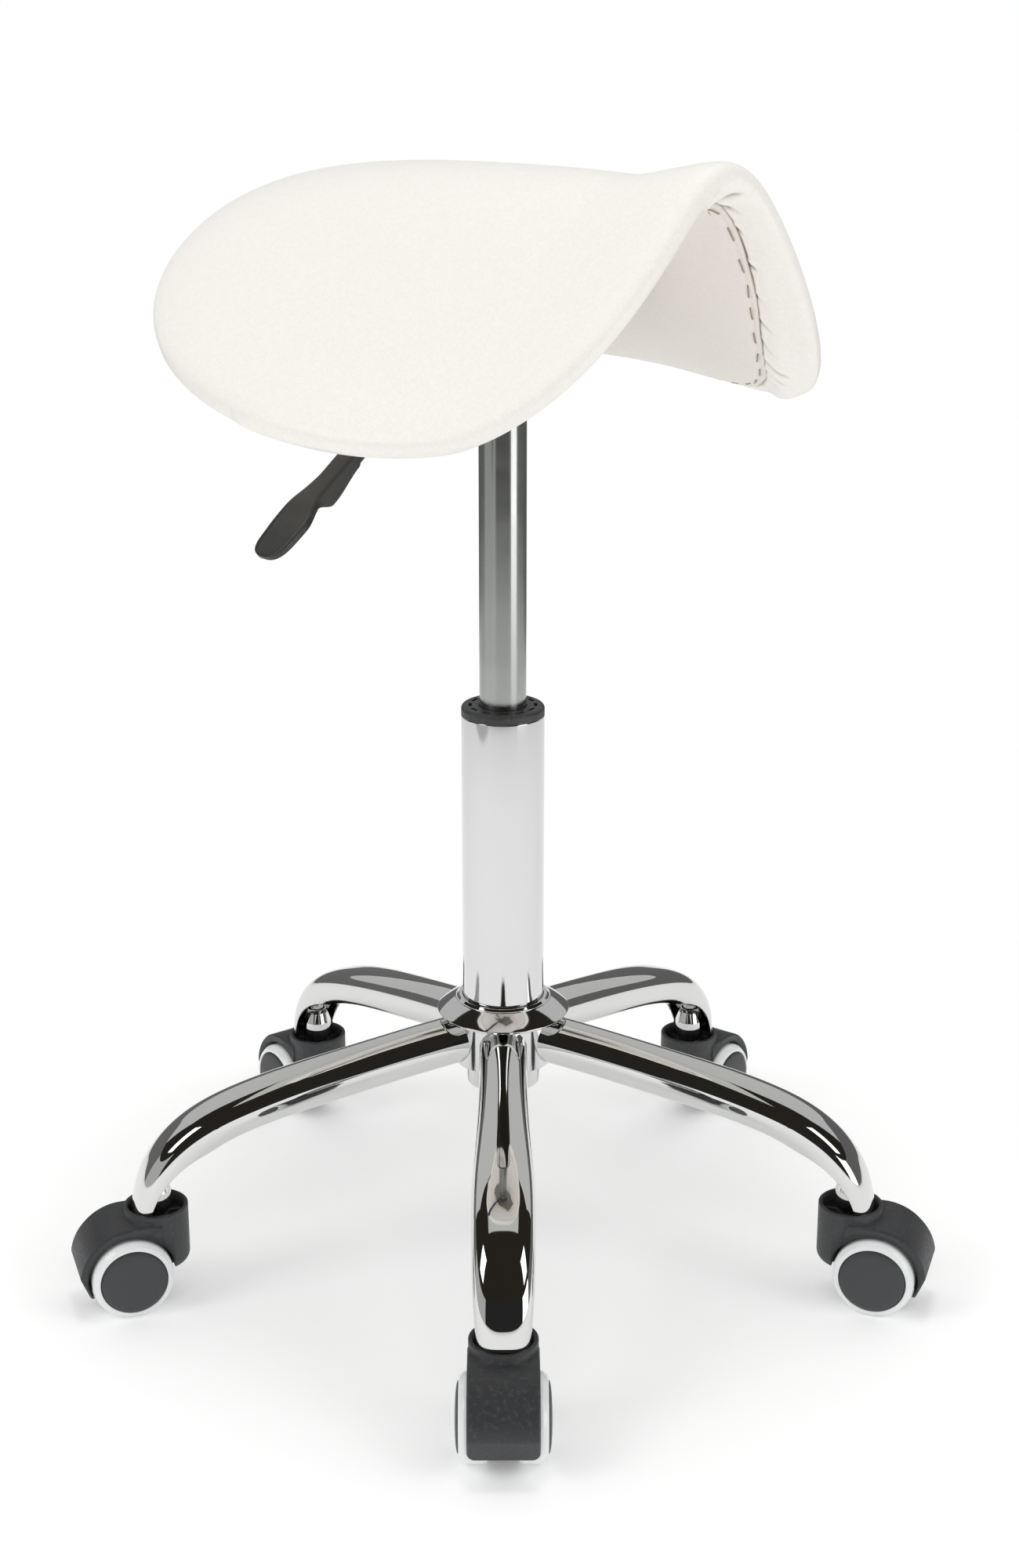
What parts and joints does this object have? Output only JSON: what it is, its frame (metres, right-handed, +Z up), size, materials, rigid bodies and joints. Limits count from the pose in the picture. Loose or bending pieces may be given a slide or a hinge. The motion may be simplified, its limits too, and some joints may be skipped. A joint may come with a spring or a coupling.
{
  "type": "saddle stool",
  "caption": "Dentist's saddle stool with a padded seat on a gas lift, a height lever, and a chrome star base on twin-wheel castors.",
  "frame": {"origin": "on the floor, on the column's axis", "axes": "+Z up along the column; one leg points along -Y"},
  "size_m": [0.5308, 0.505, 0.688],
  "materials": {
    "chrome": "mirror chrome plate",
    "bright_steel": "zinc plated, bright",
    "spring_steel": "oiled spring steel",
    "black_nylon": "moulded, fine satin",
    "bearing_steel": "ground",
    "bumper_rubber": "moulded",
    "satin_steel": "satin, drawn lengthways",
    "zinc_steel": "zinc plated, dull",
    "beech_block": "sanded",
    "plywood": "moulded plywood",
    "foam": "open cell foam",
    "white_vinyl": "soft vinyl with fine grain",
    "lining_vinyl": "matt vinyl",
    "lever_plastic": "moulded, satin",
    "wheel_core": "moulded, satin",
    "wheel_tread": "glossy polyurethane"
  },
  "bodies": {
    "base": {"hub": "chrome", "leg_1": "chrome", "leg_2": "chrome", "leg_3": "chrome", "leg_4": "chrome", "leg_5": "chrome", "caster_stems": "bright_steel", "grip_rings": "spring_steel", "column_tube": "chrome", "guide_bush": "black_nylon", "thrust_bearing": "bearing_steel"},
    "rod": {"piston_rod": "bearing_steel", "piston": "bearing_steel", "rubber_bumper": "bumper_rubber", "retaining_clip": "spring_steel"},
    "seat": {"lift_cylinder": "satin_steel", "rod_guide": "black_nylon", "seat_plate": "zinc_steel", "cone_socket": "zinc_steel", "seat_bolts": "zinc_steel", "insert_nuts": "zinc_steel", "mount_block": "beech_block", "seat_shell": "plywood", "seat_foam": "foam", "seat_cover": "white_vinyl", "underside_panel": "lining_vinyl", "lever_pin": "bright_steel"},
    "release": {"release_pin": "bearing_steel"},
    "lever": {"lever_arm": "zinc_steel", "lever_grip": "lever_plastic"},
    "caster_1": {"caster_1_hood": "black_nylon", "caster_1_axle": "bearing_steel"},
    "wheel_1_left": {"caster_1_core_left": "wheel_core", "caster_1_tread_left": "wheel_tread"},
    "wheel_1_right": {"caster_1_core_right": "wheel_core", "caster_1_tread_right": "wheel_tread"},
    "caster_2": {"caster_2_hood": "black_nylon", "caster_2_axle": "bearing_steel"},
    "wheel_2_left": {"caster_2_core_left": "wheel_core", "caster_2_tread_left": "wheel_tread"},
    "wheel_2_right": {"caster_2_core_right": "wheel_core", "caster_2_tread_right": "wheel_tread"},
    "caster_3": {"caster_3_hood": "black_nylon", "caster_3_axle": "bearing_steel"},
    "wheel_3_left": {"caster_3_core_left": "wheel_core", "caster_3_tread_left": "wheel_tread"},
    "wheel_3_right": {"caster_3_core_right": "wheel_core", "caster_3_tread_right": "wheel_tread"},
    "caster_4": {"caster_4_hood": "black_nylon", "caster_4_axle": "bearing_steel"},
    "wheel_4_left": {"caster_4_core_left": "wheel_core", "caster_4_tread_left": "wheel_tread"},
    "wheel_4_right": {"caster_4_core_right": "wheel_core", "caster_4_tread_right": "wheel_tread"},
    "caster_5": {"caster_5_hood": "black_nylon", "caster_5_axle": "bearing_steel"},
    "wheel_5_left": {"caster_5_core_left": "wheel_core", "caster_5_tread_left": "wheel_tread"},
    "wheel_5_right": {"caster_5_core_right": "wheel_core", "caster_5_tread_right": "wheel_tread"}
  },
  "joints": [
    {"name": "seat_swivel", "type": "hinge", "parent": "base", "child": "rod", "pos_m": [0, 0, 0.12], "axis": [0, 0, 1], "continuous": true},
    {"name": "height_slide", "type": "slide", "parent": "rod", "child": "seat", "axis": [0, 0, 1], "range_m": [-0.14, 0]},
    {"name": "lever_lift", "type": "hinge", "parent": "seat", "child": "lever", "pos_m": [-0.01775, -0.01615, 0.591], "axis": [-0.6731, 0.7396, 0], "range_deg": [0, 7], "stiffness_Nm_per_rad": 1.5, "springref_deg": -5.73},
    {"name": "release_travel", "type": "slide", "parent": "seat", "child": "release", "axis": [0, 0, -1], "range_m": [0, 0.0031]},
    {"name": "caster_1_swivel", "type": "hinge", "parent": "base", "child": "caster_1", "pos_m": [0, -0.2226, 0.045], "axis": [0, 0, 1], "continuous": true},
    {"name": "wheel_1_left_spin", "type": "hinge", "parent": "caster_1", "child": "wheel_1_left", "pos_m": [0, -0.2416, 0.025], "axis": [1, 0, 0], "continuous": true},
    {"name": "wheel_1_right_spin", "type": "hinge", "parent": "caster_1", "child": "wheel_1_right", "pos_m": [0, -0.2416, 0.025], "axis": [1, 0, 0], "continuous": true},
    {"name": "caster_2_swivel", "type": "hinge", "parent": "base", "child": "caster_2", "pos_m": [0.21171, -0.06879, 0.045], "axis": [0, 0, 1], "continuous": true},
    {"name": "wheel_2_left_spin", "type": "hinge", "parent": "caster_2", "child": "wheel_2_left", "pos_m": [0.22978, -0.07466, 0.025], "axis": [0.309, 0.9511, 0], "continuous": true},
    {"name": "wheel_2_right_spin", "type": "hinge", "parent": "caster_2", "child": "wheel_2_right", "pos_m": [0.22978, -0.07466, 0.025], "axis": [0.309, 0.9511, 0], "continuous": true},
    {"name": "caster_3_swivel", "type": "hinge", "parent": "base", "child": "caster_3", "pos_m": [0.13084, 0.18009, 0.045], "axis": [0, 0, 1], "continuous": true},
    {"name": "wheel_3_left_spin", "type": "hinge", "parent": "caster_3", "child": "wheel_3_left", "pos_m": [0.14201, 0.19546, 0.025], "axis": [-0.809, 0.5878, 0], "continuous": true},
    {"name": "wheel_3_right_spin", "type": "hinge", "parent": "caster_3", "child": "wheel_3_right", "pos_m": [0.14201, 0.19546, 0.025], "axis": [-0.809, 0.5878, 0], "continuous": true},
    {"name": "caster_4_swivel", "type": "hinge", "parent": "base", "child": "caster_4", "pos_m": [-0.13084, 0.18009, 0.045], "axis": [0, 0, 1], "continuous": true},
    {"name": "wheel_4_left_spin", "type": "hinge", "parent": "caster_4", "child": "wheel_4_left", "pos_m": [-0.14201, 0.19546, 0.025], "axis": [-0.809, -0.5878, 0], "continuous": true},
    {"name": "wheel_4_right_spin", "type": "hinge", "parent": "caster_4", "child": "wheel_4_right", "pos_m": [-0.14201, 0.19546, 0.025], "axis": [-0.809, -0.5878, 0], "continuous": true},
    {"name": "caster_5_swivel", "type": "hinge", "parent": "base", "child": "caster_5", "pos_m": [-0.21171, -0.06879, 0.045], "axis": [0, 0, 1], "continuous": true},
    {"name": "wheel_5_left_spin", "type": "hinge", "parent": "caster_5", "child": "wheel_5_left", "pos_m": [-0.22978, -0.07466, 0.025], "axis": [0.309, -0.9511, 0], "continuous": true},
    {"name": "wheel_5_right_spin", "type": "hinge", "parent": "caster_5", "child": "wheel_5_right", "pos_m": [-0.22978, -0.07466, 0.025], "axis": [0.309, -0.9511, 0], "continuous": true}
  ],
  "couplings": [
    {"joint": "release_travel", "follows": "lever_lift", "m_per_rad": 0.0245}
  ]
}
